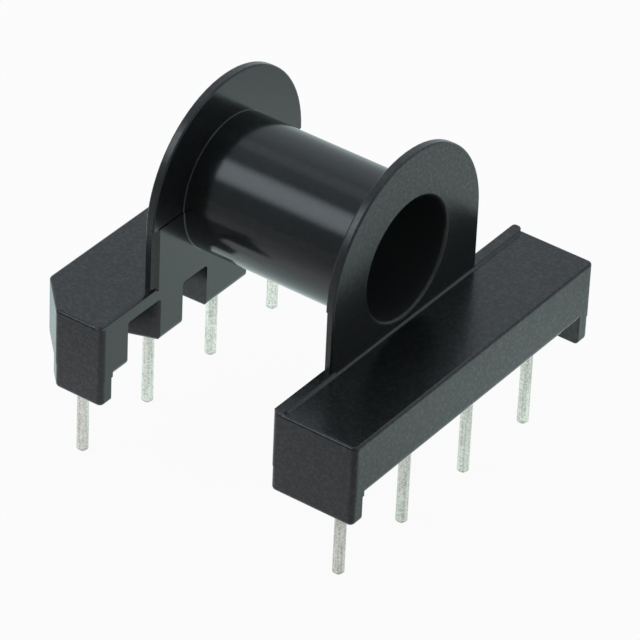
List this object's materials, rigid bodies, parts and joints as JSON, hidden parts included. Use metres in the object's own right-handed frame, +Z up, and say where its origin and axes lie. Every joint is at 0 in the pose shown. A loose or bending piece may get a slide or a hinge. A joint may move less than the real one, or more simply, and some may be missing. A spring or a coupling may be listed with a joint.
{
  "type": "transformer bobbin",
  "caption": "Horizontal coil former: a winding tube between two thin flanges on a pair of pin blocks, with round terminal pins for board mounting.",
  "frame": {"origin": "centre of the pin pattern, on the board plane where the feet stand", "axes": "+X along the winding tube, from the block with the cut corner to the plain one; +Y along the pin blocks; +Z up, away from the board"},
  "size_m": [0.0194, 0.0194, 0.0186],
  "materials": {
    "bobbin_body": "smooth black thermoset moulding, glossy",
    "pin": "tinned wire, softly dull"
  },
  "bodies": {
    "root": {"bobbin_body": "bobbin_body", "pin_1": "pin", "pin_2": "pin", "pin_3": "pin", "pin_4": "pin", "pin_5": "pin", "pin_6": "pin", "pin_7": "pin", "pin_8": "pin"}
  },
  "joints": []
}
